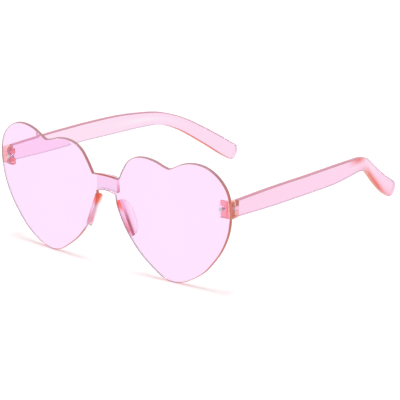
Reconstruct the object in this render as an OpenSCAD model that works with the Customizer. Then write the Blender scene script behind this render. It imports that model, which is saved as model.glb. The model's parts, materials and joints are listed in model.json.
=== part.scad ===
// Heart shaped sunglasses: a rimless one-piece double-heart lens with two folding temples.
// +X is the wearer's left, +Y runs back along the temples, +Z is up.
// The origin is on the surface that the glasses stand on, below the middle of the whole.

/* [Lens] */
// Width of the lens piece across both hearts
front_width = 142; // [128:1:156]
// Height of each heart
lens_height = 60; // [52:1:68]
// Thickness of the lens sheet
lens_thickness = 1.6; // [1.2:0.1:2.2]
// Radius of the lens sheet's wrap round the face, at its front
wrap_radius = 550; // [400:10:900]
// Least distance between the two hearts
heart_gap = 11.2; // [9:0.2:14]

/* [Bridge] */
// Height of the strip that joins the two hearts, at its ends
bridge_height = 8; // [6.5:0.1:10]
// How far the strip's top edge crowns
bridge_crown = 0.4; // [0.2:0.1:1.2]
// How far the strip's bottom edge arches
bridge_arch = 1; // [0.4:0.1:1.8]
// Length of the saddle piece that is bonded behind the strip
saddle_length = 12.4; // [10:0.2:16]
// Thickness of the saddle piece
saddle_thickness = 2.2; // [1.6:0.1:3]
// How far the saddle's outline lies inside the strip's edges
saddle_inset = 0.4; // [0.2:0.1:0.8]

/* [Nose pads] */
// Length of a nose pad along the heart's edge
pad_length = 18; // [14:0.5:20]
// How far a nose pad reaches back from the lens
pad_reach = 5.8; // [4.6:0.1:7]
// Thickness of a nose pad
pad_thickness = 2.5; // [1.8:0.1:3]
// Angle by which a pad opens towards the face, in degrees
pad_splay = 24; // [16:1:34]
// Lean of a pad in the front view, in degrees
pad_tilt = 23; // [18:1:28]

/* [Hinges] */
// Radius of the hinge barrels
barrel_radius = 1.6; // [1.5:0.1:2.2]
// Height of the lower ear on the front
lower_ear = 3; // [2.6:0.1:3.8]
// Height of the upper ear on the front
upper_ear = 2.5; // [2.2:0.1:3.2]
// Height of the temple's knuckle between the ears
knuckle_height = 2.1; // [1.8:0.1:2.6]
// Play between the knuckle and each ear
knuckle_play = 0.1; // [0.06:0.02:0.16]
// Distance from the outer face inwards that the hinge block's foot covers
foot_length = 7; // [6.6:0.1:8.6]
// Thickness of the foot behind the lens, at the pin
foot_thickness = 0.7; // [0.6:0.1:1]
// How far the foot's two prongs stand up from it
prong_rise = 0.7; // [0.5:0.1:0.9]
// Gap between the turning parts and the front
swing_gap = 0.3; // [0.25:0.05:0.4]
// Radius of the hinge screw's shank
screw_radius = 0.6; // [0.5:0.05:0.7]
// Radius of the hinge screw's head
screw_head_radius = 1; // [0.85:0.05:1.2]
// Height of the hinge screw's head
screw_head_height = 0.8; // [0.6:0.1:1]
// Radius of the rivet's shank
rivet_radius = 0.6; // [0.45:0.05:0.7]
// Radius of the rivet's two heads
rivet_head_radius = 0.95; // [0.85:0.05:1.05]
// Height of each rivet head
rivet_head_height = 0.45; // [0.35:0.05:0.6]

/* [Temples] */
// Length of a temple from its front end to the middle of its rounded tail
temple_reach = 141; // [127:1:153]
// Thickness of a temple
temple_thickness = 2.4; // [2:0.1:2.8]
// Height of a temple along its straight stretch; at its front end it is as high as the hinge
temple_height = 9; // [8:0.1:9.8]
// Height of a temple at its bend
waist_height = 6.6; // [5.6:0.1:7.6]
// Height of the tail's rounded end
tail_height = 8.3; // [7:0.1:9.6]
// How far the tail turns in towards the head
tail_inset = 19; // [15:0.5:26]
// Length of the tail's rounded end
tail_cap = 3.6; // [2.4:0.1:4.4]

/* [Hidden] */
$fn = 48;
// Fineness of the lens sheet's two large faces
wrap_fn = 720;
// Points between two places on a curve
curve_steps = 5;
// Overrun of every cut
overrun = 1;
// Film of cement between the lens and what is bonded to it
cement = 0.05;
// Radial clearance of the screw where the knuckle turns on it, and of the fixed fits
running_clearance = 0.05;
fixed_clearance = 0.02;

// Colours
lens_pink = [1, 0.80, 0.97];
bridge_pink = [0.96, 0.70, 0.86];
temple_pink = [0.99, 0.72, 0.84];
hinge_salmon = [0.98, 0.60, 0.60];
steel = [0.72, 0.72, 0.74];

// The lens sheet
heart_width = (front_width - heart_gap) / 2;
back_radius = wrap_radius - lens_thickness;
// One heart, from the top of the bridge over its lobes and round its tip to the bottom of the
// bridge: shares of the heart's width, from the nose outwards, and of its height
bridge_top_shares = [0.036, 0.742];
heart_shares = [[0.08, 0.83], [0.13, 0.907], [0.20, 0.955], [0.285, 0.97],
    [0.375, 0.958], [0.45, 0.93], [0.50, 0.92], [0.55, 0.945], [0.605, 0.975],
    [0.67, 0.995], [0.74, 1.00], [0.815, 0.985], [0.885, 0.945], [0.945, 0.882],
    [0.985, 0.80], [1.00, 0.69], [0.993, 0.57], [0.965, 0.45], [0.90, 0.31],
    [0.795, 0.168], [0.72, 0.098], [0.64, 0.046], [0.57, 0.014], [0.50, 0.000],
    [0.43, 0.013], [0.355, 0.052], [0.205, 0.18], [0.085, 0.345], [0.015, 0.51]];
// Heights on the lens, as shares of its height
pad_level_share = 0.425;
hinge_level_share = 0.67;

// Where the strip's crowned top and arched bottom meet the heart's inner edge
strip_top = heart_place(bridge_top_shares);
strip_bottom = [heart_gap / 2, strip_top[1] - bridge_height];

// A nose pad stands where the heart's inner edge passes its middle
pad_level = pad_level_share * lens_height;
pad_edge_share = 0.045;
pad_x = heart_gap / 2 + pad_edge_share * heart_width + pad_thickness / 2;
// Squareness of rounded outlines: 1 gives an ellipse, less gives fuller corners
pad_fullness_share = 0.8;
tail_fullness_share = 0.9;

// The hinge, from its outer face inwards and from the lens back
outer_x = front_width / 2;
pin_x = outer_x - barrel_radius;
foot_back = lens_back(outer_x) + foot_thickness;
pin_y = foot_back + swing_gap + barrel_radius;
ear_back = pin_y + barrel_radius;
temple_front = ear_back + swing_gap;
hinge_height = lower_ear + knuckle_height + 2 * knuckle_play + upper_ear;
hinge_level = hinge_level_share * lens_height;
hinge_bottom = hinge_level - hinge_height / 2;
knuckle_bottom = hinge_bottom + lower_ear + knuckle_play;
upper_ear_bottom = knuckle_bottom + knuckle_height + knuckle_play;
// The prongs end level with the foot's inner end; the bar between them has this share of it
prong_bar_share = 0.3;
foot_inner = outer_x - foot_length;
prong_outer = pin_x - barrel_radius;
prong_bar = prong_bar_share * (prong_outer - foot_inner);

// The screw goes up from a recess in the lower ear into a blind hole in the upper one
thread_share = 0.72;
thread_length = thread_share * upper_ear;
recess_radius = screw_head_radius + running_clearance;
recess_depth = screw_head_height + running_clearance;
screw_bottom = hinge_bottom + recess_depth - screw_head_height;
screw_top = upper_ear_bottom + thread_length;
slot_width_share = 0.3;
slot_width = slot_width_share * screw_head_radius;
slot_depth_share = 0.45;
slot_depth = slot_depth_share * screw_head_height;

// The rivet stands between the prongs, beside the bar and square to the lens
rivet_x = prong_outer - prong_bar - running_clearance - rivet_head_radius;
rivet_level = (hinge_bottom + lower_ear + upper_ear_bottom) / 2;
rivet_turn = asin(rivet_x / wrap_radius);

// A temple's middle line: share of its reach, share of its fall from the hinge to the
// tail's end, and its height there; and how far it turns in, as a share of the inset
tail_rest_share = 0.58;
tail_level = tail_rest_share * tail_height;
temple_fall = hinge_level - tail_level;
side_places = [[0, 0, hinge_height], [0.18, 0.056, temple_height],
    [0.35, 0.108, temple_height], [0.51, 0.165, temple_height],
    [0.62, 0.208, (temple_height + waist_height) / 2], [0.71, 0.263, waist_height],
    [0.79, 0.405, waist_height], [0.88, 0.665, (waist_height + tail_height) / 2],
    [0.96, 0.91, tail_height], [1, 1.02, tail_height]];
plan_shares = [[0.35, 0], [0.51, 0.06], [0.62, 0.17], [0.71, 0.32], [0.79, 0.56],
    [0.88, 0.83], [0.96, 0.98], [1, 1]];

// Where the lens's back face lies, at a distance x from the middle
function lens_back(x) = wrap_radius - sqrt(pow(back_radius, 2) - pow(x, 2));

// A place on a heart, [x, z], from its shares of the heart's width and height
function heart_place(shares) =
    [heart_gap / 2 + shares[0] * heart_width, shares[1] * lens_height];

// A smooth curve through four neighbouring places, from the second to the third
function span_point(a, b, c, d, t) =
    (2 * b + (c - a) * t + (2 * a - 5 * b + 4 * c - d) * pow(t, 2)
    + (3 * b - a - 3 * c + d) * pow(t, 3)) / 2;
function place_near(places, i) = let (last = len(places) - 1)
    i < 0 ? 2 * places[0] - places[1] :
    i > last ? 2 * places[last] - places[last - 1] : places[i];
function open_curve(places) = let (last = len(places) - 1)
    concat([for (i = [0 : last - 1]) for (j = [0 : curve_steps - 1])
        span_point(place_near(places, i - 1), places[i], places[i + 1],
            place_near(places, i + 2), j / curve_steps)], [places[last]]);
// Points of a low arch between two places on one level, without its ends
function arch_points(from, to, level, rise) =
    [for (i = [1 : 2 * curve_steps - 1]) let (share = i / curve_steps - 1)
        [from + (to - from) * (share + 1) / 2, level + rise * (1 - pow(share, 2))]];
// Direction of a curve at one of its points, in its first two coordinates
function heading(curve, i) = let (last = len(curve) - 1,
    step = curve[min(i + 1, last)] - curve[max(i - 1, 0)],
    flat = [step[0], step[1]]) flat / norm(flat);
function left_of(direction) = [-direction[1], direction[0]];
function signed_power(base, power) = sign(base) * pow(abs(base), power);

// A temple's middle line in the side view, each point with the height there
side_line = open_curve([for (p = side_places)
    [temple_front + p[0] * temple_reach, hinge_level - p[1] * temple_fall, p[2]]]);
side_last = len(side_line) - 1;
function side_edge(i, way) = [side_line[i][0], side_line[i][1]]
    + way * left_of(heading(side_line, i)) * side_line[i][2] / 2;
tail_end = [side_line[side_last][0], side_line[side_last][1]];
tail_heading = heading(side_line, side_last);
side_outline = concat([for (i = [0 : side_last]) side_edge(i, 1)],
    [for (a = [80 : -10 : -80]) tail_end
        + tail_heading * tail_cap * pow(cos(a), tail_fullness_share)
        + left_of(tail_heading) * signed_power(sin(a), tail_fullness_share) * tail_height / 2],
    [for (i = [side_last : -1 : 0]) side_edge(i, -1)]);
overall_depth = max([for (p = side_outline) p[0]]);

// Its middle line in the plan view: straight first, then turning in
temple_line_x = outer_x - temple_thickness / 2;
plan_curve = open_curve([for (p = plan_shares)
    [temple_line_x - p[1] * tail_inset, temple_front + p[0] * temple_reach]]);
plan_last = len(plan_curve) - 1;
plan_beyond = plan_curve[plan_last] + heading(plan_curve, plan_last) * tail_height;
plan_line = concat([[temple_line_x, temple_front]], plan_curve, [plan_beyond]);
function plan_edge(i, way) = plan_line[i]
    + way * left_of(i < 2 ? [0, 1] : heading(plan_line, i)) * temple_thickness / 2;
plan_outline = concat([for (i = [0 : len(plan_line) - 1]) plan_edge(i, 1)],
    [for (i = [len(plan_line) - 1 : -1 : 0]) plan_edge(i, -1)]);

// Puts the lens's foremost point half the depth in front of the origin
module from_middle() translate([0, -overall_depth / 2, 0]) children();
module on_side(side) mirror([side < 0 ? 1 : 0, 0, 0]) children();
// An outline in the front view, [x, z], as a block that runs back from front_y
module front_block(front_y, depth)
    translate([0, front_y + depth, 0]) rotate([90, 0, 0]) linear_extrude(depth) children();
// The space behind the lens between two distances from the middle, less the cement. Its front
// is a flat chord of the lens's back, which leaves it by a few hundredths at most.
module behind_lens(inner_x, outer_end_x, reach)
    linear_extrude(lens_height) polygon([[inner_x, lens_back(inner_x) + cement],
        [outer_end_x, lens_back(outer_end_x) + cement], [outer_end_x, reach], [inner_x, reach]]);

// The outline of both hearts and the strip: one half, then the other one mirrored
module lens_outline() {
    half = open_curve(concat([strip_top], [for (p = heart_shares) heart_place(p)], [strip_bottom]));
    polygon(concat(half, arch_points(strip_bottom[0], -strip_bottom[0], strip_bottom[1], bridge_arch),
        [for (i = [len(half) - 1 : -1 : 0]) [-half[i][0], half[i][1]]],
        arch_points(-strip_top[0], strip_top[0], strip_top[1], bridge_crown)));
}

// A plate with the strip's crown and arch, inset from its edges
module saddle_outline() {
    half = saddle_length / 2;
    top = strip_top[1] - saddle_inset;
    bottom = strip_bottom[1] + saddle_inset;
    polygon(concat([[-half, top]], arch_points(-half, half, top, bridge_crown),
        [[half, top], [half, bottom]], arch_points(half, -half, bottom, bridge_arch),
        [[-half, bottom]]));
}

module heart_lens_shield() color(lens_pink) from_middle()
    difference() {
        intersection() {
            front_block(-overrun, lens_back(outer_x) + 2 * overrun) lens_outline();
            translate([0, wrap_radius, 0]) difference() {
                cylinder(r = wrap_radius, h = lens_height, $fn = wrap_fn);
                translate([0, 0, -overrun])
                    cylinder(r = back_radius, h = lens_height + 2 * overrun, $fn = wrap_fn);
            }
        }
        for (side = [1, -1]) on_side(side) rivet_place()
            translate([0, 0, -overrun - lens_thickness])
                cylinder(r = rivet_radius + fixed_clearance, h = 2 * (overrun + lens_thickness));
    }

module bridge_saddle() color(bridge_pink) from_middle()
    front_block(lens_back(saddle_length / 2) + cement, saddle_thickness) saddle_outline();

// A pad is a rounded blade that stands on the lens's back face
module nose_pad(side) color(bridge_pink) from_middle() on_side(side)
    intersection() {
        translate([pad_x, lens_back(pad_x), pad_level]) rotate([0, -pad_tilt, 0])
            rotate([0, 0, -pad_splay]) rotate([0, -90, 0])
            translate([0, 0, -pad_thickness / 2]) linear_extrude(pad_thickness)
                polygon([for (a = [0 : 10 : 350])
                    [signed_power(sin(a), pad_fullness_share) * pad_length / 2,
                    signed_power(cos(a), pad_fullness_share) * pad_reach]]);
        behind_lens(heart_gap / 2 - pad_thickness, pad_x + pad_length / 2, overall_depth);
    }

// Local frames: the rivet's axis square to the lens's back face, and the hinge's axis
module rivet_place()
    translate([rivet_x, lens_back(rivet_x), rivet_level]) rotate([0, 0, rivet_turn])
        rotate([-90, 0, 0]) children();
module at_pin(level) translate([pin_x, pin_y, level]) children();

// One ear: a barrel round the pin, carried from the foot and squared on its outer side
module ear(level, height) {
    at_pin(level) cylinder(r = barrel_radius, h = height);
    translate([pin_x - barrel_radius, 0, level]) cube([2 * barrel_radius, pin_y, height]);
    at_pin(level) cube([barrel_radius, barrel_radius, height]);
}

// A prong, with the bar that joins the two at their outer end
module prong(level, height)
    translate([foot_inner, 0, level])
        cube([prong_outer - foot_inner + overrun, foot_back + prong_rise, height]);

module hinge_block(side) color(hinge_salmon) from_middle() on_side(side)
    difference() {
        intersection() {
            union() {
                translate([foot_inner, 0, hinge_bottom])
                    cube([foot_length, foot_back, hinge_height]);
                prong(hinge_bottom, lower_ear);
                prong(upper_ear_bottom, upper_ear);
                translate([prong_outer - prong_bar, 0, hinge_bottom])
                    cube([prong_bar, foot_back + prong_rise, hinge_height]);
                ear(hinge_bottom, lower_ear);
                ear(upper_ear_bottom, upper_ear);
            }
            behind_lens(foot_inner, outer_x, ear_back);
        }
        at_pin(hinge_bottom - overrun)
            cylinder(r = recess_radius, h = overrun + recess_depth);
        at_pin(hinge_bottom) cylinder(r = screw_radius + fixed_clearance, h = lower_ear + overrun);
        at_pin(upper_ear_bottom - overrun)
            cylinder(r = screw_radius + fixed_clearance, h = overrun + thread_length + knuckle_play);
        rivet_place() cylinder(r = rivet_radius + fixed_clearance, h = ear_back);
    }

// The rivet: a low domed head on the lens's front and a flat one on the foot's back
module hinge_rivet(side) color(steel) from_middle() on_side(side) {
    grip = foot_back - lens_back(rivet_x) + rivet_head_radius * tan(rivet_turn);
    rivet_place() rotate_extrude() polygon(concat(
        [[0, grip + rivet_head_height], [rivet_head_radius, grip + rivet_head_height],
        [rivet_head_radius, grip + fixed_clearance], [rivet_radius, grip + fixed_clearance],
        [rivet_radius, -lens_thickness - fixed_clearance]],
        [for (a = [0 : 15 : 90]) [rivet_head_radius * cos(a),
            -lens_thickness - fixed_clearance - rivet_head_height * sin(a)]]));
}

// The hinge screw, with a slotted head in the lower ear's recess
module hinge_screw(side) color(steel) from_middle() on_side(side)
    difference() {
        union() {
            at_pin(screw_bottom)
                cylinder(r = screw_head_radius, h = screw_head_height - fixed_clearance);
            at_pin(screw_bottom) cylinder(r = screw_radius, h = screw_top - screw_bottom);
        }
        at_pin(screw_bottom) translate([-overrun - screw_head_radius, -slot_width / 2, -overrun])
            cube([2 * (overrun + screw_head_radius), slot_width, overrun + slot_depth]);
    }

module temple(side) color(temple_pink) from_middle() on_side(side)
    difference() {
        union() {
            intersection() {
                translate([0, 0, -lens_height]) linear_extrude(2 * lens_height) polygon(plan_outline);
                rotate([90, 0, 90]) linear_extrude(front_width) polygon(side_outline);
            }
            at_pin(knuckle_bottom) cylinder(r = barrel_radius, h = knuckle_height);
            at_pin(knuckle_bottom) translate([barrel_radius - temple_thickness, 0, 0])
                cube([temple_thickness, temple_front - pin_y + overrun, knuckle_height]);
        }
        at_pin(knuckle_bottom - overrun)
            cylinder(r = screw_radius + running_clearance, h = knuckle_height + 2 * overrun);
    }

heart_lens_shield();
bridge_saddle();
nose_pad(1);  // nose_pad_left
nose_pad(-1);  // nose_pad_right
hinge_block(1);  // hinge_block_left
hinge_block(-1);  // hinge_block_right
hinge_rivet(1);  // hinge_rivet_left
hinge_rivet(-1);  // hinge_rivet_right
hinge_screw(1);  // hinge_screw_left
hinge_screw(-1);  // hinge_screw_right
temple(1);  // temple_left
temple(-1);  // temple_right
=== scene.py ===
# %% [markdown]
# # Heart shaped sunglasses
#
# These are rimless glasses in clear, dyed plastic: one lens sheet in the shape of two joined
# hearts, a saddle behind the strip between them, two nose pads, two small hinges and two
# temples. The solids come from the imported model, so this lesson is about looks: how thin clear
# plastic keeps its pale faces and its much deeper coloured edges.

# %% Load the frame
import json
import math

import bmesh
import bpy
import numpy as np
from mathutils import Matrix, Vector, geometry


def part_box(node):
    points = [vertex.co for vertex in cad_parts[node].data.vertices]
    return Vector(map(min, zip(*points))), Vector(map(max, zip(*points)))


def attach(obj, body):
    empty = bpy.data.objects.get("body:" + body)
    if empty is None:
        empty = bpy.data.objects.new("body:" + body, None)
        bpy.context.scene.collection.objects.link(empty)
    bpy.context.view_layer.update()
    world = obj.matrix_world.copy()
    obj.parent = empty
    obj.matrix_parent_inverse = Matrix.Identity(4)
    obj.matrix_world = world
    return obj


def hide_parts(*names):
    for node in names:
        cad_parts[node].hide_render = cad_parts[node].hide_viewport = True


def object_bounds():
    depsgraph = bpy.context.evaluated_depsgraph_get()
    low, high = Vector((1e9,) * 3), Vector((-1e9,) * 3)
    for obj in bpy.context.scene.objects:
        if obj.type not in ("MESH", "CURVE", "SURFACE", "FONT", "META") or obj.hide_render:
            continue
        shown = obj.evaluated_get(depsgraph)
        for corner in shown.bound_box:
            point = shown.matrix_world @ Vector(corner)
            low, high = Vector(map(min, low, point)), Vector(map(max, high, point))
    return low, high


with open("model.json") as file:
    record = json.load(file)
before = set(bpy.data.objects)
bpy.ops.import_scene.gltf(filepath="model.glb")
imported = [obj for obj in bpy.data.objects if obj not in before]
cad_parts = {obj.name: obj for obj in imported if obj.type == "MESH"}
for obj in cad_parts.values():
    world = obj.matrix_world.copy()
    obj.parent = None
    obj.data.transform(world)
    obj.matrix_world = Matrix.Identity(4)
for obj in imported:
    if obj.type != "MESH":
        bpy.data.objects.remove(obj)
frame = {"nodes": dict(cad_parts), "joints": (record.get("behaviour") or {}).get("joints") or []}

MM = 0.001
cad_bounds = [list(corner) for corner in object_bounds()]
nodes = frame["nodes"]
size = [round((high - low) / MM, 1) for low, high in zip(*cad_bounds)]
print("the glasses measure", size, "mm;", len(nodes), "solids")

# %% [markdown]
# ## Clear dyed plastic
#
# A sheet of dyed polycarbonate passes nearly all light and takes a little green out of it.
# Principled glass does that: its base colour is what one sheet lets through. Glass in Cycles
# stops lamps, though, and would throw a black shadow, so lamp rays get a Transparent shader in
# the same dye instead. A faint slow noise bends the surface a little, as moulding does. Where
# a piece is deeper in one place than in another, its faces are painted with their own dye, and
# where light that ran inside the plastic comes out, or shines in a streak, that is painted in
# too: a painted glow and a painted highlight. The paint is only for the side one looks at:
# Geometry's Backfacing tells when a ray meets a face from inside, and there the plain dye holds.
#
# Only the lens sheet has the index of real polycarbonate. A renderer follows a ray through a
# dozen surfaces and then gives it up as black, and a high index throws rays to and fro inside
# a small piece until that happens. So the arms, the saddle and the pads have a low one and the
# crowded hinges the lowest. That costs only a little sparkle.

# %% Screen colours and empty finishes
def linear(red, green, blue):
    """A screen colour, 0 to 255 in each channel, as the linear colour that shaders use."""
    return [(c / 255 / 12.92) if c <= 10 else ((c / 255 + 0.055) / 1.055) ** 2.4
            for c in (red, green, blue)]


def new_finish(name):
    """An empty node material and its output."""
    material = bpy.data.materials.new(name)
    material.use_nodes = True
    tree = material.node_tree
    tree.nodes.clear()
    return material, tree, tree.nodes.new("ShaderNodeOutputMaterial")


# %% Slow waves in a surface
WAVE_HEIGHT_MM = 0.01
WAVE_DETAIL = 1.5


def moulded_wave(tree, ripple_mm, height_mm=WAVE_HEIGHT_MM, stretch=(1, 1, 1)):
    """A bump that waves as slowly as cooled plastic does; ripple_mm is one wave's length."""
    place = tree.nodes.new("ShaderNodeTexCoord")
    scale = tree.nodes.new("ShaderNodeMapping")
    scale.inputs["Scale"].default_value = [s / (ripple_mm * MM) for s in stretch]
    noise = tree.nodes.new("ShaderNodeTexNoise")
    noise.inputs["Scale"].default_value = 1
    noise.inputs["Detail"].default_value = WAVE_DETAIL
    bump = tree.nodes.new("ShaderNodeBump")
    bump.inputs["Strength"].default_value = 1
    bump.inputs["Distance"].default_value = height_mm * MM
    tree.links.new(place.outputs["Object"], scale.inputs["Vector"])
    tree.links.new(scale.outputs["Vector"], noise.inputs["Vector"])
    tree.links.new(noise.outputs["Fac"], bump.inputs["Height"])
    return noise, bump


# %% Mix colours, and cloud a dye or the paint
# The paint holds dye and painted light: painted glow and painted highlight.
PAINT = "painted_dye_and_light"


def blend(tree, share, first, second):
    """A colour between two, each a colour or a socket, by the share that a socket gives."""
    mix = tree.nodes.new("ShaderNodeMix")
    mix.data_type = "RGBA"
    tree.links.new(share, mix.inputs["Factor"])
    for colour, name in ((first, "A"), (second, "B")):
        if isinstance(colour, bpy.types.NodeSocket):
            tree.links.new(colour, mix.inputs[name])
        else:
            mix.inputs[name].default_value = (*colour, 1)
    return mix.outputs["Result"]


def clouded(tree, noise, dye, depth):
    """The dye, or the paint of dye and light where it is None, a little deeper in slow clouds."""
    deepen = tree.nodes.new("ShaderNodeGamma")
    deepen.inputs["Gamma"].default_value = depth
    if dye is None:
        paint_node = tree.nodes.new("ShaderNodeAttribute")
        paint_node.attribute_name = PAINT
        colour = paint_node.outputs["Color"]
        tree.links.new(colour, deepen.inputs["Color"])
    else:
        colour = dye
        deepen.inputs["Color"].default_value = (*dye, 1)
    return blend(tree, noise.outputs["Fac"], colour, deepen.outputs["Color"])


# %% Ask where a ray is, and let lamp rays through
LAMP_GRAZE = 0.12


def from_inside(tree):
    """1 where a ray meets a face from inside the plastic."""
    return tree.nodes.new("ShaderNodeNewGeometry").outputs["Backfacing"]


def let_lamps_through(tree, out, shader, dye, along_dye=None):
    """Lamp rays pass in the plastic's own dye; along_dye is left of those that graze a face."""
    clear = tree.nodes.new("ShaderNodeBsdfTransparent")
    # A lamp ray crosses the two faces of a sheet, so each of them takes the root of the dye.
    passed = [math.sqrt(channel) for channel in dye]
    clear.inputs["Color"].default_value = (*passed, 1)
    if along_dye:
        grazing = tree.nodes.new("ShaderNodeLayerWeight")
        grazing.inputs["Blend"].default_value = LAMP_GRAZE
        tree.links.new(blend(tree, grazing.outputs["Facing"], passed, along_dye),
                       clear.inputs["Color"])
    path = tree.nodes.new("ShaderNodeLightPath")
    mix = tree.nodes.new("ShaderNodeMixShader")
    tree.links.new(path.outputs["Is Shadow Ray"], mix.inputs["Fac"])
    tree.links.new(shader.outputs["BSDF"], mix.inputs[1])
    tree.links.new(clear.outputs["BSDF"], mix.inputs[2])
    tree.links.new(mix.outputs["Shader"], out.inputs["Surface"])


# %% The clear finish
POLYCARBONATE_IOR = 1.5
POLISHED = 0.02
CLOUD_DEPTH = 1.2


def clear_plastic(name, dye, ripple_mm, painted=False, ior=POLYCARBONATE_IOR,
                  rough=POLISHED, along_dye=None):
    """Dyed glass; where it is painted, the paint shows on the side one looks at."""
    material, tree, out = new_finish(name)
    glass = tree.nodes.new("ShaderNodeBsdfPrincipled")
    glass.inputs["Transmission Weight"].default_value = 1
    glass.inputs["IOR"].default_value = ior
    glass.inputs["Roughness"].default_value = rough
    noise, bump = moulded_wave(tree, ripple_mm)
    tree.links.new(bump.outputs["Normal"], glass.inputs["Normal"])
    colour = clouded(tree, noise, None if painted else dye, CLOUD_DEPTH)
    if painted:
        colour = blend(tree, from_inside(tree), colour, dye)
    tree.links.new(colour, glass.inputs["Base Color"])
    let_lamps_through(tree, out, glass, dye, along_dye)
    return material


# %% The clear finish of each piece
LENS_DYE = linear(255, 229, 255)
ALONG_SHEET = linear(110, 30, 36)
lens_face = clear_plastic("lens_face", LENS_DYE, 24, along_dye=ALONG_SHEET)

TEMPLE_IOR = 1.15
TEMPLE_DYE = linear(253, 221, 238)
temple_face = clear_plastic("temple_face", TEMPLE_DYE, 18, True, TEMPLE_IOR)

SMALL_PIECE_IOR = 1.2
SADDLE_DYE = linear(250, 234, 243)
PAD_DYE = linear(254, 238, 246)
SOFT_PAD = 0.1
saddle_face = clear_plastic("saddle_face", SADDLE_DYE, 8, True, SMALL_PIECE_IOR)
pad_face = clear_plastic("pad_face", PAD_DYE, 8, True, SMALL_PIECE_IOR, SOFT_PAD)

HINGE_IOR = 1.07
FOOT_DYE = linear(255, 244, 250)
PRONG_DYE = linear(245, 126, 136)
HINGE_DYE = linear(254, 222, 228)
SATIN = 0.2
CLOUDY = 0.3
hinge_foot = clear_plastic("hinge_foot", FOOT_DYE, 6, False, HINGE_IOR)
hinge_prongs = clear_plastic("hinge_prongs", PRONG_DYE, 3, False, HINGE_IOR, SATIN)
hinge_cloudy = clear_plastic("hinge_cloudy", HINGE_DYE, 3, True, HINGE_IOR, CLOUDY)
print("clear finishes:", ", ".join(m.name for m in bpy.data.materials))

# %% [markdown]
# ## The cut edge
#
# Look into the edge of a clear dyed sheet and you look along it, not through it: the light has
# come a long way inside, so the colour is far deeper. Simulating that takes many bounces, and
# a second material on the edge faces gives the same line for nothing. Seen from inside, through
# the sheet's own face, the same edge stays pale. It also stops more of the lamp's light than a
# face does, which draws the thin coloured lines on the floor below.

# %% The edge finish
EDGE_FROM_INSIDE = 0.75
EDGE_SATIN = 0.3
EDGE_CLOUD_DEPTH = 1.3


def deep_edge(name, inside_dye, drift_mm, lamp_dye, ior=POLYCARBONATE_IOR):
    """A painted satin edge from outside, pale and mostly clear from inside."""
    material, tree, out = new_finish(name)
    edge = tree.nodes.new("ShaderNodeBsdfPrincipled")
    edge.inputs["IOR"].default_value = ior
    edge.inputs["Roughness"].default_value = EDGE_SATIN
    noise, bump = moulded_wave(tree, drift_mm)
    tree.links.new(bump.outputs["Normal"], edge.inputs["Normal"])
    inside = from_inside(tree)
    colour = blend(tree, inside, clouded(tree, noise, None, EDGE_CLOUD_DEPTH), inside_dye)
    tree.links.new(colour, edge.inputs["Base Color"])
    passes = tree.nodes.new("ShaderNodeMapRange")
    passes.inputs["To Max"].default_value = EDGE_FROM_INSIDE
    tree.links.new(inside, passes.inputs["Value"])
    tree.links.new(passes.outputs["Result"], edge.inputs["Transmission Weight"])
    let_lamps_through(tree, out, edge, lamp_dye)
    return material


EDGE_SHADOW = linear(160, 90, 96)
INSIDE_GREY = linear(226, 206, 217)
PALE_PINK = linear(250, 222, 234)
lens_edge = deep_edge("lens_edge", INSIDE_GREY, 14, EDGE_SHADOW)
temple_edge = deep_edge("temple_edge", PALE_PINK, 30, TEMPLE_DYE, TEMPLE_IOR)
print("edge finishes:", ", ".join(m.name for m in bpy.data.materials if "edge" in m.name))

# %% [markdown]
# ## The lens sheet
#
# The real lens is cut from a sheet and bent a little round the face. Its outline is already in
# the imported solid, as the closed row of edges where the front face meets the cut edge. So the
# outline is walked once, set back in small steps to round the corners of the edge, and the two
# large faces are filled with a fine net of triangles that lies on the bent sheet. A fine net
# matters in clear plastic: long thin triangles would show as streaks of bent light.

# %% Read the lens's outline from the solid
WELD = 0.002 * MM
FRONT_FACE = -0.9
SIDE_FACE = -0.5


def welded(node):
    """A copy of a solid's mesh, with the doubled points of its sharp edges joined."""
    bm = bmesh.new()
    bm.from_mesh(nodes[node].data)
    bmesh.ops.remove_doubles(bm, verts=bm.verts[:], dist=WELD)
    return bm


def front_loops(node):
    """The closed rows of (x, z) where the front face of a sheet ends, longest first."""
    bm = welded(node)
    neighbours = {}
    for edge in bm.edges:
        if len(edge.link_faces) != 2:
            continue
        facing = sorted(face.normal.y for face in edge.link_faces)
        if facing[0] < FRONT_FACE and facing[1] > SIDE_FACE:
            for here, there in (edge.verts, reversed(edge.verts)):
                neighbours.setdefault(here, []).append(there)
    loops = []
    while neighbours:
        start = here = next(iter(neighbours))
        loop, before = [], None
        while True:
            loop.append((here.co.x, here.co.z))
            ahead = [v for v in neighbours.pop(here, []) if v is not before]
            before, here = here, ahead[0] if ahead else start
            if here is start or here not in neighbours:
                break
        loops.append(np.array(loop))
    bm.free()
    return sorted(loops, key=lambda loop: -np.ptp(loop[:, 0]))


lens_low, lens_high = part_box("heart_lens_shield")
lens_loops = front_loops("heart_lens_shield")
outline, rivet_holes = lens_loops[0], lens_loops[1:]
print("lens outline:", len(outline), "points;", len(rivet_holes), "rivet holes")

# %% Measure the sheet's bend and thickness
RIM_BAND = 0.5 * MM
MIDDLE_BAND = 6 * MM
lens_points = np.array([v.co for v in nodes["heart_lens_shield"].data.vertices])
half_width = lens_high.x
rim_ys = lens_points[lens_points[:, 0] > half_width - RIM_BAND, 1]
front_rise = rim_ys.min() - lens_low.y
wrap_radius = (half_width ** 2 + front_rise ** 2) / (2 * front_rise)
middle_ys = lens_points[np.abs(lens_points[:, 0]) < MIDDLE_BAND, 1]
sheet_thickness = middle_ys.max() - lens_low.y
print("sheet:", round(sheet_thickness / MM, 2), "mm thick, bent to a radius of",
      round(wrap_radius / MM), "mm")


def sheet_point(x, z, depth):
    """A point of the bent sheet; depth runs square to it, from 0 in front."""
    bend = wrap_radius - depth
    return Vector((x, lens_low.y + wrap_radius - math.sqrt(bend ** 2 - x ** 2), z))


# %% Set a row of points back, and tell what lies inside it
SHARPEST_LEAN = 0.6


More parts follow.
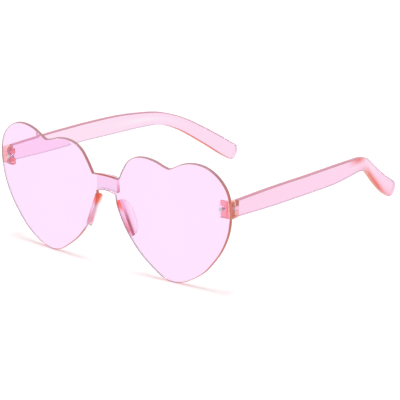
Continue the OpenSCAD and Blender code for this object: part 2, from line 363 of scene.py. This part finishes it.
def set_back(loop, distance):
    """A closed row moved inwards by a distance, square to itself."""
    ahead, behind = np.roll(loop, -1, 0), np.roll(loop, 1, 0)
    area = np.sum(loop[:, 0] * ahead[:, 1] - ahead[:, 0] * loop[:, 1])
    turn = 1 if area > 0 else -1
    sides = []
    for step in (loop - behind, ahead - loop):
        step = step / np.linalg.norm(step, axis=1, keepdims=True)
        sides.append(np.stack([-step[:, 1], step[:, 0]], 1) * turn)
    middle = sides[0] + sides[1]
    middle /= np.linalg.norm(middle, axis=1, keepdims=True)
    lean = np.clip((middle * sides[0]).sum(1, keepdims=True), SHARPEST_LEAN, 1)
    return loop + middle * distance / lean


def inside(point, loop):
    """True if a closed row goes round the point."""
    ahead = np.roll(loop, -1, 0)
    crosses = (loop[:, 1] > point[1]) != (ahead[:, 1] > point[1])
    run = np.where(crosses, ahead[:, 1] - loop[:, 1], 1)
    at = loop[:, 0] + (point[1] - loop[:, 1]) * (ahead[:, 0] - loop[:, 0]) / run
    return np.count_nonzero(crosses & (at > point[0])) % 2 == 1


# %% Fill a face of the sheet with a fine net
NET = 2.4 * MM
EDGE_ROUND = 0.3 * MM
SAME_PLACE = 1e-7


def net_of(border, holes):
    """Points (x, z) and triangles that fill a border round its holes; the border comes first."""
    rows = [border, *holes]
    points = [Vector(p) for row in rows for p in row]
    edges, start = [], 0
    for row in rows:
        edges += [(start + i, start + (i + 1) % len(row)) for i in range(len(row))]
        start += len(row)
    known = np.vstack(rows)
    low, high = border.min(0), border.max(0)
    for k, z in enumerate(np.arange(low[1] + NET / 2, high[1], NET * math.sqrt(3) / 2)):
        for x in np.arange(low[0] + (k % 2) * NET / 2, high[0], NET):
            near = np.min(np.hypot(known[:, 0] - x, known[:, 1] - z))
            if near > NET / 2 and inside((x, z), border):
                points.append(Vector((x, z)))
    found = geometry.delaunay_2d_cdt(points, edges, [], 1, SAME_PLACE)
    triangles = []
    for face in found[2]:
        centre = sum((found[0][i] for i in face), Vector((0, 0))) / len(face)
        if inside(centre, border) and not any(inside(centre, hole) for hole in holes):
            triangles.append(tuple(face))
    return [tuple(p) for p in found[0]], triangles


net_border = set_back(outline, EDGE_ROUND)
net_points, net_faces = net_of(net_border, rivet_holes)
print("lens net:", len(net_points), "points,", len(net_faces), "triangles a side")

# %% Two helpers for paint, and one that lays it on
FACE, EDGE = 0, 1


def ramp(value, start, end):
    """A share that is 0 where the value is start and 1 where it is end."""
    return (value - start) / (end - start)


def towards(first, second, share):
    """The dye a share of the way from the first to the second; the share is held in 0 to 1."""
    share = min(max(share, 0), 1)
    return [a + (b - a) * share for a, b in zip(first, second)]


def paint(bm, dye_at, plain=None):
    """Paints each corner of each face by a function of the face and the point.

    Light takes half its dye on the way in and half on the way out. Where the plain dye is
    given, clear faces are painted until the way in through the paint and the way out through
    the plain dye show, together, the colour that the function gives.
    """
    bmesh.ops.recalc_face_normals(bm, faces=bm.faces[:])
    bm.normal_update()
    layer = bm.loops.layers.float_color.new(PAINT)
    for face in bm.faces:
        for corner in face.loops:
            dye = dye_at(face, corner.vert.co)
            if plain and face.material_index == FACE:
                dye = [min(seen * seen / far, 1) for seen, far in zip(dye, plain)]
            corner[layer] = (*dye, 1)


# %% Turn a mesh into a piece of the glasses
CREASE = math.radians(50)
BIG_FACES_FIRST = 90


def shown(mesh_name, bm, finishes, body, slot, *replaced):
    """Makes a finished bmesh into a piece that rides on its body, smooth up to its creases."""
    bmesh.ops.recalc_face_normals(bm, faces=bm.faces[:])
    mesh = bpy.data.meshes.new(mesh_name)
    bm.to_mesh(mesh)
    bm.free()
    mesh.shade_smooth()
    mesh.set_sharp_from_angle(angle=CREASE)
    piece = bpy.data.objects.new(mesh_name, mesh)
    bpy.context.scene.collection.objects.link(piece)
    for finish in finishes:
        mesh.materials.append(finish)
    normals = piece.modifiers.new("even_shine", "WEIGHTED_NORMAL")
    normals.weight = BIG_FACES_FIRST
    normals.keep_sharp = True
    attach(piece, body)
    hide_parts(*replaced)
    print(mesh_name + ":", len(mesh.vertices), "points")


# %% Round and colour the cut edge of the sheet
EDGE_STEPS = 3


def edge_profile(thickness, radius):
    """(set back, depth) steps round the cut edge of a sheet, from its front to its back."""
    turns = [i / EDGE_STEPS * math.pi / 2 for i in range(EDGE_STEPS + 1)]
    front = [(radius * (1 - math.sin(t)), radius * (1 - math.cos(t))) for t in turns]
    return front + [(back, thickness - depth) for back, depth in reversed(front)]


# Painted light on the cut edge: a salmon glow on its steep sides, where the light that ran
# through the sheet comes out, a greyer tone where it faces up into the overhead light, and an
# orange glow at the top of each pad.
EDGE_SIDE_GLOW = linear(236, 140, 126)
EDGE_TOP_LIT = linear(200, 150, 158)
EDGE_STRIP = linear(205, 100, 100)
EDGE_AT_PAD = linear(255, 206, 228)
EDGE_PAD_TOP_GLOW = linear(255, 120, 92)
EDGE_AT_HINGE = linear(255, 158, 140)
PAD_TOP_HEIGHT = 6.5 * MM
PAD_MARGIN = 1 * MM
FACES_UP = 0.3
pad_low, pad_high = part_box("nose_pad_left")
saddle_low, saddle_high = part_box("bridge_saddle")
hinge_low, hinge_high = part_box("hinge_block_left")


def lens_edge_dye_and_light(face, point):
    """Painted light: salmon on the sides, greyer on top; red on the strip, orange and pink at
    pieces.
    """
    at_pad = pad_low.z - PAD_MARGIN < point.z < pad_high.z and abs(point.x) < pad_high.x
    if at_pad and face.normal.x * point.x < 0:
        from_top = (pad_high.z - point.z) / PAD_TOP_HEIGHT
        return towards(EDGE_AT_PAD, EDGE_PAD_TOP_GLOW, ramp(from_top, 1, 2 / 3))
    if abs(point.x) < saddle_high.x and face.normal.z > FACES_UP:
        return EDGE_STRIP
    if abs(point.x) > hinge_low.x and hinge_low.z < point.z < hinge_high.z:
        return EDGE_AT_HINGE
    return towards(EDGE_SIDE_GLOW, EDGE_TOP_LIT, ramp(face.normal.z, 0.2, 0.7))


# %% Build the lens
def build_lens():
    bm = bmesh.new()
    faces = []
    for depth in (0, sheet_thickness):
        corners = [bm.verts.new(sheet_point(x, z, depth)) for x, z in net_points]
        faces.append(corners)
        for triangle in net_faces:
            bm.faces.new([corners[i] for i in triangle])
    rows = [faces[0][:len(outline)]]
    for back, depth in edge_profile(sheet_thickness, EDGE_ROUND)[1:-1]:
        row = set_back(outline, back)
        rows.append([bm.verts.new(sheet_point(x, z, depth)) for x, z in row])
    rows.append(faces[1][:len(outline)])
    start = len(outline)
    pairs = list(zip(rows, rows[1:]))
    for hole in rivet_holes:
        pairs.append([face[start:start + len(hole)] for face in faces])
        start += len(hole)
    for upper, lower in pairs:
        count = len(upper)
        for i in range(count):
            j = (i + 1) % count
            rim = bm.faces.new((upper[i], upper[j], lower[j], lower[i]))
            rim.material_index = EDGE
    paint(bm, lens_edge_dye_and_light)
    shown("tinted_double_heart_lens", bm, (lens_face, lens_edge), "front", "tinted_lens",
          "heart_lens_shield")


build_lens()

# %% [markdown]
# ## The temples
#
# A temple is a flat bar with rounded edges. It runs straight, bends down over the ear and ends
# in a wider rounded tail that turns in. Slices through the imported solid give its top, bottom,
# inner and outer face at each place along it, and a rounded rectangle is laid into each slice.
# A piece made of rings like this has even quads, so light bends through it without streaks.
#
# Its top edge is satin and deep in colour from end to end. The lower edge is as clear as the
# sides as far as the tail. Under the tail, and on the outside over the bend, the light that ran
# along the arm comes out and glows, and that glow is painted into the dye.

# %% Slice the temple's solid
def slices_of(node, places):
    """For each place along Y, the lowest and highest (x, z) where that plane cuts a solid."""
    bm = welded(node)
    ends = np.array([[tuple(v.co) for v in edge.verts] for edge in bm.edges])
    bm.free()
    cuts = []
    for y in places:
        before, after = ends[:, 0, 1] - y, ends[:, 1, 1] - y
        across = before * after < 0
        share = (before[across] / (before[across] - after[across]))[:, None]
        points = ends[across, 0] + share * (ends[across, 1] - ends[across, 0])
        cuts.append((points[:, (0, 2)].min(0), points[:, (0, 2)].max(0)))
    return cuts


# %% Draw one ring
CORNER_STEPS = 4
BAND_STEPS = [0.6 * MM, 1.6 * MM, 3.2 * MM]
NEARLY_HALF = 0.49


def ring_of(low, high, radius):
    """A rounded rectangle (x, z), with more points near the edges of its two tall faces."""
    (x0, z0), (x1, z1) = low, high
    radius = min(radius, NEARLY_HALF * (x1 - x0), NEARLY_HALF * (z1 - z0))
    ring = []
    corners = ((x1, z0, -1, -90), (x1, z1, 1, 0), (x0, z1, 1, 90), (x0, z0, -1, 180))
    for number, (x, z, way, first) in enumerate(corners):
        centre_x = x - radius if x == x1 else x + radius
        centre_z = z - way * radius
        for i in range(CORNER_STEPS + 1):
            turn = math.radians(first + 90 * i / CORNER_STEPS)
            ring.append((centre_x + radius * math.cos(turn),
                         centre_z + radius * math.sin(turn)))
        if number in (0, 2):
            height = z1 - z0
            steps = [min(radius + d, NEARLY_HALF * height) for d in BAND_STEPS]
            ups = steps + [height - d for d in reversed(steps)]
            ring += [(x, z0 + up) for up in (ups if number == 0 else reversed(ups))]
    return ring


# %% Choose how the dye deepens along a temple, and where its glow is painted
OUTER_SIDE = linear(255, 216, 239)
INNER_FRONT = linear(254, 226, 244)
INNER_BACK = linear(253, 221, 242)
# A painted highlight: a pale streak along the middle of the inner side.
INNER_HIGHLIGHT_STREAK = linear(253, 236, 251)
TOP_BAND = linear(230, 166, 184)
UNDER_BAND = linear(255, 240, 248)
# Painted glow, where the light that ran along the arm comes out over the bend and under the tail.
UNDER_TAIL_GLOW = linear(255, 158, 140)
GLOW = linear(242, 108, 96)
GLOW_EDGE = linear(240, 132, 124)

BEND_AT, BEND_LENGTH, BEND_GLOW = 0.665, 0.05, 1.15
TAIL_AT, TAIL_LENGTH, TAIL_GLOW = 0.83, 0.11, 1.4
STREAK_AT, STREAK_LENGTH, STREAK_HEIGHT = 0.6, 0.12, 4 * MM
GLOW_DEPTH = BAND_STEPS[-1]
SIDEWAYS = 0.2


def hump(share, middle, width):
    """A smooth rise to 1 and fall along a temple."""
    return math.exp(-((share - middle) / width) ** 2)


def temple_dye_and_glow(face, outward, share, from_top, from_bottom):
    """The dye and painted light at a place: share runs along the arm, the two distances from its
    edges.
    """
    bend_glow_share = hump(share, BEND_AT, BEND_LENGTH)
    tail_glow_share = hump(share, TAIL_AT, TAIL_LENGTH)
    if face.material_index == EDGE and face.normal.z > FACES_UP:
        return towards(TOP_BAND, GLOW_EDGE, bend_glow_share if outward > SIDEWAYS else 0)
    if face.material_index == EDGE:
        return towards(UNDER_BAND, UNDER_TAIL_GLOW, TAIL_GLOW * tail_glow_share)
    if outward > -SIDEWAYS:
        glow = max(bend_glow_share * (BEND_GLOW - from_top / GLOW_DEPTH),
                   tail_glow_share * (TAIL_GLOW - from_bottom / GLOW_DEPTH))
        return towards(OUTER_SIDE, GLOW, glow)
    # The pale streak is a painted highlight.
    off_middle = abs(from_top - from_bottom) / STREAK_HEIGHT
    streak = hump(share, STREAK_AT, STREAK_LENGTH) * (1 - off_middle)
    side = towards(INNER_FRONT, INNER_BACK, ramp(share, 0.4, 0.65))
    return towards(side, INNER_HIGHLIGHT_STREAK, streak)


# %% Find where the arm starts, behind the hinge's barrel
SIDES = ("left", "right")
SQUARE_ON = 0.99
SLACK = 0.1 * MM


def pin_of(side):
    """The middle of a temple's hinge pin."""
    joint = next(j for j in frame["joints"] if j["child"] == "temple_" + side)
    return Vector(joint["pos_m"])


def front_of_arm(side):
    """The Y of the bar's front face, the first behind the barrel that is round its pin."""
    node = "temple_" + side
    barrel_back = 2 * pin_of(side).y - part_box(node)[0].y
    bm = welded(node)
    ys = [face.calc_center_median().y for face in bm.faces if face.normal.y < -SQUARE_ON]
    bm.free()
    return min(y for y in ys if y > barrel_back - SLACK)


arm_fronts = {side: front_of_arm(side) for side in SIDES}
print("arms start at", {side: round(y / MM, 2) for side, y in arm_fronts.items()}, "mm")

# %% Lay rings through the slices
SLICES = 120
TEMPLE_ROUND = 0.4 * MM
NOSE_STEPS = [0.02 * MM, 0.07 * MM, 0.17 * MM, 0.3 * MM, 0.4 * MM, 0.9 * MM]
END_GAP = 0.004 * MM
PLACE_DIGITS = 7


def ring_places(arm_front, arm_end):
    """Places along Y: a few close behind the arm's front, then ever closer to its end."""
    shares = [1 - (1 - i / SLICES) ** 2 for i in range(1, SLICES)]
    places = [arm_front + (arm_end - arm_front) * share for share in shares]
    return [arm_front + step for step in NOSE_STEPS] + places + [arm_end - END_GAP]


def lay_rings(bm, node, arm_front, arm_end):
    """The rings of an arm, rounded off at both ends, and its (bottom, top) at each place."""
    places = ring_places(arm_front, arm_end)
    rings, edges_at = [], {}
    for y, (cut_low, cut_high) in zip(places, slices_of(node, places)):
        short = max(TEMPLE_ROUND - min(y - arm_front, arm_end - y), 0)
        inset = TEMPLE_ROUND - math.sqrt(max(TEMPLE_ROUND ** 2 - short ** 2, 0))
        lift = inset if y - arm_front < TEMPLE_ROUND else 0
        cut_low, cut_high = cut_low + (inset, lift), cut_high - (inset, lift)
        ring = ring_of(cut_low, cut_high, TEMPLE_ROUND)
        rings.append([bm.verts.new((x, y, z)) for x, z in ring])
        edges_at[round(rings[-1][0].co.y, PLACE_DIGITS)] = (cut_low[1], cut_high[1])
    return rings, edges_at


# %% Close the rings into an arm
# A ring starts below, runs up one side of the arm, over its top and down the other side.
TAIL_FROM = 0.7
SIDE_STEPS = 1 + 2 * len(BAND_STEPS)
HALF_RING = SIDE_STEPS + 2 * CORNER_STEPS + 1
TOP = range(CORNER_STEPS + SIDE_STEPS, CORNER_STEPS + HALF_RING)
UNDERSIDE = (*range(CORNER_STEPS), *range(TOP.stop + SIDE_STEPS, 2 * HALF_RING))


def build_temple(side):
    node = "temple_" + side
    arm_front, arm_end = arm_fronts[side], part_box(node)[1].y
    reach = arm_end - arm_front
    bm = bmesh.new()
    rings, edges_at = lay_rings(bm, node, arm_front, arm_end)
    count = len(rings[0])
    for before, after in zip(rings, rings[1:]):
        in_tail = before[0].co.y > arm_front + TAIL_FROM * reach
        for i in range(count):
            j = (i + 1) % count
            quad = bm.faces.new((before[i], before[j], after[j], after[i]))
            is_edge = i in TOP or (in_tail and i in UNDERSIDE)
            quad.material_index = EDGE if is_edge else FACE
    bm.faces.new(rings[0]).material_index = FACE
    bm.faces.new(rings[-1]).material_index = EDGE

    def dye_at(face, point):
        bottom, top = edges_at[round(point.y, PLACE_DIGITS)]
        share = (point.y - arm_front) / reach
        outward = face.normal.x * math.copysign(1, point.x)
        return temple_dye_and_glow(face, outward, share, top - point.z, point.z - bottom)

    paint(bm, dye_at, TEMPLE_DYE)
    shown("temple_arm_" + side, bm, (temple_face, temple_edge), node, "temple_plastic", node)


for side in SIDES:
    build_temple(side)

# %% [markdown]
# ## Small moulded pieces
#
# The saddle, the nose pads, the hinge blocks and the temples' knuckles are too small for rings
# to matter. Each is a copy of its solid with every sharp edge bevelled, as a mould leaves it.
# The pads are soft blades, so their bevels are nearly half as wide as the blade is thick. Light
# that entered a blade along its whole length comes out at its top end and at its root, which
# is why those two are painted so much deeper than the rest.
#
# A hinge block has three finishes, but stays one mesh: two clear pieces laid against each
# other would put two more surfaces in the way of each ray. Only its faces are cut and shared
# out, so that each part of the hinge can have its own finish.

# %% Bevelled copies
X, Y, Z = range(3)
SHARP = math.radians(28)
SAME_PLANE = math.radians(1)


def bevelled(bm, width, segments):
    """Rounds the sharp edges of a bmesh."""
    bmesh.ops.dissolve_limit(bm, angle_limit=SAME_PLANE, verts=bm.verts[:], edges=bm.edges[:])
    sharp = [e for e in bm.edges if len(e.link_faces) == 2 and e.calc_face_angle() > SHARP]
    bmesh.ops.bevel(bm, geom=sharp, offset=width, offset_type="OFFSET", segments=segments,
                    profile=0.5, affect="EDGES", clamp_overlap=True)
    bmesh.ops.recalc_face_normals(bm, faces=bm.faces[:])
    bm.normal_update()
    return bm


def cut_across(bm, axis, at, **clear):
    """Cuts a mesh along a plane across an axis, and clears one side of it where that is asked."""
    square = Vector([float(i == axis) for i in range(3)])
    bmesh.ops.bisect_plane(bm, geom=bm.verts[:] + bm.edges[:] + bm.faces[:], dist=SAME_PLACE,
                           plane_co=square * at, plane_no=square, **clear)
    return bm


def sliced(bm, axis, step):
    """Cuts the faces by planes a step apart across an axis, so that paint can change there."""
    along = [v.co[axis] for v in bm.verts]
    for at in np.arange(min(along) + step / 2, max(along), step):
        cut_across(bm, axis, at)
    return bm


# %% The saddle
SADDLE_ROUND = 0.35 * MM
PAINT_STEP = 1.2 * MM
SADDLE_END = linear(253, 222, 236)
SADDLE_FOOT = linear(234, 150, 168)
SADDLE_UNDER = linear(240, 176, 204)
END_FACE = 0.8
UNDER_FACE = -0.6
saddle = sliced(bevelled(welded("bridge_saddle"), SADDLE_ROUND, 3), Z, PAINT_STEP)


def saddle_dye(face, point):
    """Plain in front, a pink line below, and redder towards the foot of each end."""
    if abs(face.normal.x) > END_FACE:
        down = (saddle_high.z - point.z) / (saddle_high.z - saddle_low.z)
        return towards(SADDLE_END, SADDLE_FOOT, ramp(down, 0.27, 0.93))
    return SADDLE_UNDER if face.normal.z < UNDER_FACE else SADDLE_DYE


paint(saddle, saddle_dye, SADDLE_DYE)
shown("saddle_bridge", saddle, (saddle_face,), "front", "bridge_plastic", "bridge_saddle")

# %% How the dye deepens in a nose pad, and its painted glow
PAD_SOFT = linear(247, 190, 214)
PAD_FREE = linear(255, 246, 250)
PAD_PALE = linear(255, 238, 248)
# A painted glow, where light that ran along the blade comes out at its root and its top end.
PAD_ROOT = linear(238, 140, 156)
PAD_LINE = linear(184, 84, 102)
PAD_TOP_GLOW = linear(254, 118, 88)
PAD_FADE = 3 * MM
LINE_DEPTH = 1.2 * MM
ROUND_CORNER = 0.35
ROOT_FACE = -0.8


def from_sheet(point):
    """How far a point is behind the back of the lens sheet."""
    return point.y - sheet_point(point.x, point.z, sheet_thickness).y


def pad_dye_and_glow(face, point, way):
    """Pale at the free edge; a painted glow, pinker to the root, orange in the top end, red low
    down.
    """
    outward = face.normal.x * way
    lower = (pad_high.z - point.z) / (pad_high.z - pad_low.z)
    rounding = outward > ROUND_CORNER and face.normal.y < -ROUND_CORNER
    if rounding and from_sheet(point) < LINE_DEPTH:
        return towards(PAD_SOFT, PAD_LINE, ramp(lower, 0.2, 0.53))
    at_top = ramp(pad_high.z - point.z, PAD_TOP_HEIGHT, PAD_TOP_HEIGHT / 2)
    if face.normal.y < ROOT_FACE:
        redder = min(ramp(lower, 0.3, 0.8), ramp(lower, 1, 0.8))
        return towards(towards(PAD_PALE, PAD_ROOT, redder), PAD_TOP_GLOW, at_top)
    dye = towards(PAD_SOFT, PAD_FREE, from_sheet(point) / PAD_FADE)
    return towards(dye, PAD_TOP_GLOW, at_top if outward < FACES_UP else 0)


# %% The nose pads
PAD_ROUND = 0.9 * MM
DEPTH_STEP = 0.7 * MM


def build_pad(side):
    node = "nose_pad_" + side
    way = math.copysign(1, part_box(node)[0].x)
    blade = sliced(bevelled(welded(node), PAD_ROUND, 4), Z, PAINT_STEP)
    sliced(blade, Y, DEPTH_STEP)
    paint(blade, lambda face, point: pad_dye_and_glow(face, point, way), PAD_DYE)
    shown("nose_pad_blade_" + side, blade, (pad_face,), "front", "pad_plastic", node)


for side in SIDES:
    build_pad(side)

# %% The hinges: a clear foot on the lens, pink prongs, cloudy orange ears with darker ends
HINGE_ROUND = 0.14 * MM
PLANE_GAP = 0.01 * MM
EAR_END = 0.45 * MM
EAR_FRONT = 0.7 * MM
HINGE_ORANGE = linear(255, 202, 174)
HINGE_DARK = linear(255, 176, 150)
EARS, PRONGS, FOOT = 0, 1, 2


def build_hinge(side):
    node = "hinge_block_" + side
    low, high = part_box(node)
    # The ears lie round the pin, and their outer side is flush with the end of the front.
    ears_start = 2 * abs(pin_of(side).x) - half_width + 2 * PLANE_GAP
    block = welded(node)
    backs = [face.calc_center_median() for face in block.faces if face.normal.y > SQUARE_ON]
    foot_back = min(back.y for back in backs if abs(back.x) < ears_start) + PLANE_GAP
    print("foot of", node, "ends at", round(foot_back / MM, 2), "mm")
    sliced(bevelled(block, HINGE_ROUND, 2), Y, EAR_END)
    cut_across(block, X, math.copysign(ears_start, low.x))
    cut_across(block, Y, foot_back)
    for face in block.faces:
        middle = face.calc_center_median()
        if abs(middle.x) > ears_start:
            face.material_index = EARS
        else:
            face.material_index = PRONGS if middle.y > foot_back else FOOT

    def ear_dye(face, point):
        from_end = min(high.y - point.y, abs(point.y - foot_back + EAR_FRONT)) / EAR_END
        return towards(HINGE_DARK, HINGE_ORANGE, ramp(from_end, 0.3, 1.3))

    paint(block, ear_dye)
    shown("moulded_hinge_" + side, block, (hinge_cloudy, hinge_prongs, hinge_foot), "front",
          "hinge_plastic", node)


for side in SIDES:
    build_hinge(side)

# %% The knuckles, cut from the front of each temple's solid
KNUCKLE_PINK = linear(255, 236, 242)


def build_knuckle(side):
    node = "temple_" + side
    cut = arm_fronts[side] - PLANE_GAP
    knuckle = cut_across(welded(node), Y, cut, clear_outer=True)
    bmesh.ops.holes_fill(knuckle, edges=[e for e in knuckle.edges if e.is_boundary])
    bevelled(knuckle, HINGE_ROUND, 2)
    paint(knuckle, lambda face, point: KNUCKLE_PINK)
    shown("temple_knuckle_" + side, knuckle, (hinge_cloudy,), node, "temple_plastic", node)


for side in SIDES:
    build_knuckle(side)

# %% [markdown]
# ## Rivets and hinge screws
#
# The fasteners keep their own solids, which already have a low dome and a slotted head. They
# are bright turned steel: a metal with fine rings that the tool left, which a stretched noise
# in the roughness and a shallow bump give. It isn't wholly metallic, because a full mirror deep
# inside a hinge would only show black.

# %% Turned steel
STEEL = linear(228, 224, 228)
METALLIC_SHARE = 0.6
TURNED_RING_MM = 0.25
TURNED_HEIGHT_MM = 0.006
TURNED_STRETCH = (1, 1, 4)
TURNED_ROUGH = (0.18, 0.42)


def turned_steel():
    material, tree, out = new_finish("turned_steel")
    steel = tree.nodes.new("ShaderNodeBsdfPrincipled")
    steel.inputs["Metallic"].default_value = METALLIC_SHARE
    steel.inputs["Base Color"].default_value = (*STEEL, 1)
    noise, bump = moulded_wave(tree, TURNED_RING_MM, TURNED_HEIGHT_MM, TURNED_STRETCH)
    tree.links.new(bump.outputs["Normal"], steel.inputs["Normal"])
    rough = tree.nodes.new("ShaderNodeMapRange")
    rough.inputs["To Min"].default_value = TURNED_ROUGH[0]
    rough.inputs["To Max"].default_value = TURNED_ROUGH[1]
    tree.links.new(noise.outputs["Fac"], rough.inputs["Value"])
    tree.links.new(rough.outputs["Result"], steel.inputs["Roughness"])
    tree.links.new(steel.outputs["BSDF"], out.inputs["Surface"])
    return material


steel = turned_steel()
fasteners = [name for name in nodes if name.startswith(("hinge_rivet", "hinge_screw"))]
for name in fasteners:
    nodes[name].data.materials.clear()
    nodes[name].data.materials.append(steel)
    nodes[name].data.shade_smooth()
print("steel:", ", ".join(sorted(fasteners)))

# %% [markdown]
# ## Floor and light
#
# A product shot on white: a plain floor, one soft light straight overhead and an even world.
# The overhead light is a sun lamp as wide as a softbox looks, so the floor is lit alike out to
# its edge. World and lamp together light a white face that looks up to a little under 1, so a
# colour renders about as it is written.
#
# The floor has to look white and still show the thin pink lines where the sheet stands edge-on
# to the light, darkest where the hearts' tips touch down. So for camera rays it is matt white
# with a little light of its own, just enough to carry it over the edge of white. Rays that
# come off a gloss or through plastic find a floor of plain white, and a sky brighter than the
# one that lights the glasses, so that glints and clear plastic look bright too.

# %% Which rays a material answers
def any_ray(tree, *kinds):
    """1 for a ray of any of these kinds of the Light Path node, and 0 for others."""
    path = tree.nodes.new("ShaderNodeLightPath")
    found = path.outputs[kinds[0]]
    for kind in kinds[1:]:
        either = tree.nodes.new("ShaderNodeMath")
        either.operation = "MAXIMUM"
        tree.links.new(found, either.inputs[0])
        tree.links.new(path.outputs[kind], either.inputs[1])
        found = either.outputs["Value"]
    return found


# %% The floor
FLOOR_WHITE = 0.9
FLOOR_LIFT = 0.28
FLOOR_HALF = 4
FLOOR_DROP = 0.02 * MM


def white_floor():
    material, tree, out = new_finish("white_floor")
    matt = tree.nodes.new("ShaderNodeBsdfDiffuse")
    matt.inputs["Color"].default_value = (FLOOR_WHITE, FLOOR_WHITE, FLOOR_WHITE, 1)
    level = tree.nodes.new("ShaderNodeMapRange")
    level.inputs["To Max"].default_value = FLOOR_LIFT
    lift = tree.nodes.new("ShaderNodeEmission")
    lifted = tree.nodes.new("ShaderNodeAddShader")
    white = tree.nodes.new("ShaderNodeEmission")
    choose = tree.nodes.new("ShaderNodeMixShader")
    tree.links.new(any_ray(tree, "Is Camera Ray"), level.inputs["Value"])
    tree.links.new(level.outputs["Result"], lift.inputs["Strength"])
    tree.links.new(matt.outputs["BSDF"], lifted.inputs[0])
    tree.links.new(lift.outputs["Emission"], lifted.inputs[1])
    tree.links.new(any_ray(tree, "Is Glossy Ray", "Is Transmission Ray"), choose.inputs["Fac"])
    tree.links.new(lifted.outputs["Shader"], choose.inputs[1])
    tree.links.new(white.outputs["Emission"], choose.inputs[2])
    tree.links.new(choose.outputs["Shader"], out.inputs["Surface"])
    return material


floor_mesh = bpy.data.meshes.new("floor")
floor_corners = [(-FLOOR_HALF, -FLOOR_HALF), (FLOOR_HALF, -FLOOR_HALF),
                 (FLOOR_HALF, FLOOR_HALF), (-FLOOR_HALF, FLOOR_HALF)]
floor_mesh.from_pydata([(x, y, -FLOOR_DROP) for x, y in floor_corners], [], [(0, 1, 2, 3)])
floor = bpy.data.objects.new("floor", floor_mesh)
bpy.context.scene.collection.objects.link(floor)
floor_mesh.materials.append(white_floor())
print("floor", 2 * FLOOR_HALF, "m wide,", round(FLOOR_DROP / MM, 2), "mm below the tips")

# %% The world
WORLD_LIGHT = 0.42
WORLD_GREY = 0.8
world = bpy.data.worlds.new("studio")
bpy.context.scene.world = world
world.use_nodes = True
sky = world.node_tree
sky.nodes.clear()
sky_out = sky.nodes.new("ShaderNodeOutputWorld")
sky_light = sky.nodes.new("ShaderNodeBackground")
sky_light.inputs["Color"].default_value = (WORLD_GREY, WORLD_GREY, WORLD_GREY, 1)
sky_level = sky.nodes.new("ShaderNodeMapRange")
sky_level.inputs["To Min"].default_value = WORLD_LIGHT
sky_level.inputs["To Max"].default_value = 1
sky.links.new(any_ray(sky, "Is Camera Ray", "Is Glossy Ray", "Is Transmission Ray"),
              sky_level.inputs["Value"])
sky.links.new(sky_level.outputs["Result"], sky_light.inputs["Strength"])
sky.links.new(sky_light.outputs["Background"], sky_out.inputs["Surface"])

# %% The lamp
OVERHEAD_LEVEL = 0.6
OVERHEAD_WIDTH = math.radians(16)
lamp_data = bpy.data.lights.new("overhead_light", "SUN")
lamp_data.energy = OVERHEAD_LEVEL * math.pi
lamp_data.angle = OVERHEAD_WIDTH
lamp = bpy.data.objects.new("overhead_light", lamp_data)
lamp.location = (0, 0, 1)
bpy.context.scene.collection.objects.link(lamp)
lit = WORLD_GREY * WORLD_LIGHT + OVERHEAD_LEVEL
print("a white face that looks up is lit to", round(lit, 2))

# %% [markdown]
# ## The camera
#
# A long lens from over a metre away: the photograph's two temples run almost parallel, which a
# near camera would not show. The camera is turned about its own axis by two degrees, because
# the photograph's floor line leans. Its place was found by setting the solids' outlines against
# the photograph's.

# %% Place the camera
CAMERA_AZIMUTH = math.radians(40.748)
CAMERA_HEIGHT_ANGLE = math.radians(19.863)
CAMERA_ROLL = math.radians(2.262)
CAMERA_DISTANCE = 1.2087
CAMERA_TARGET = Vector((18.61, -32.84, 23.17)) * MM
CAMERA_LENS_MM = 230.15
SENSOR_MM = 36.0

right = Vector((math.cos(CAMERA_AZIMUTH), math.sin(CAMERA_AZIMUTH), 0))
back = Vector((math.sin(CAMERA_AZIMUTH) * math.cos(CAMERA_HEIGHT_ANGLE),
               -math.cos(CAMERA_AZIMUTH) * math.cos(CAMERA_HEIGHT_ANGLE),
               math.sin(CAMERA_HEIGHT_ANGLE)))
up = back.cross(right)
rolled_right = right * math.cos(CAMERA_ROLL) - up * math.sin(CAMERA_ROLL)
rolled_up = right * math.sin(CAMERA_ROLL) + up * math.cos(CAMERA_ROLL)
camera_data = bpy.data.cameras.new("camera")
camera_data.sensor_width = SENSOR_MM
camera_data.lens = CAMERA_LENS_MM
camera = bpy.data.objects.new("camera", camera_data)
turn = Matrix((rolled_right, rolled_up, back)).transposed().to_4x4()
camera.matrix_world = Matrix.Translation(CAMERA_TARGET + back * CAMERA_DISTANCE) @ turn
bpy.context.scene.collection.objects.link(camera)
bpy.context.scene.camera = camera
bpy.context.scene.view_settings.view_transform = "Standard"
print("camera at", [round(c, 3) for c in camera.matrix_world.translation], "m")
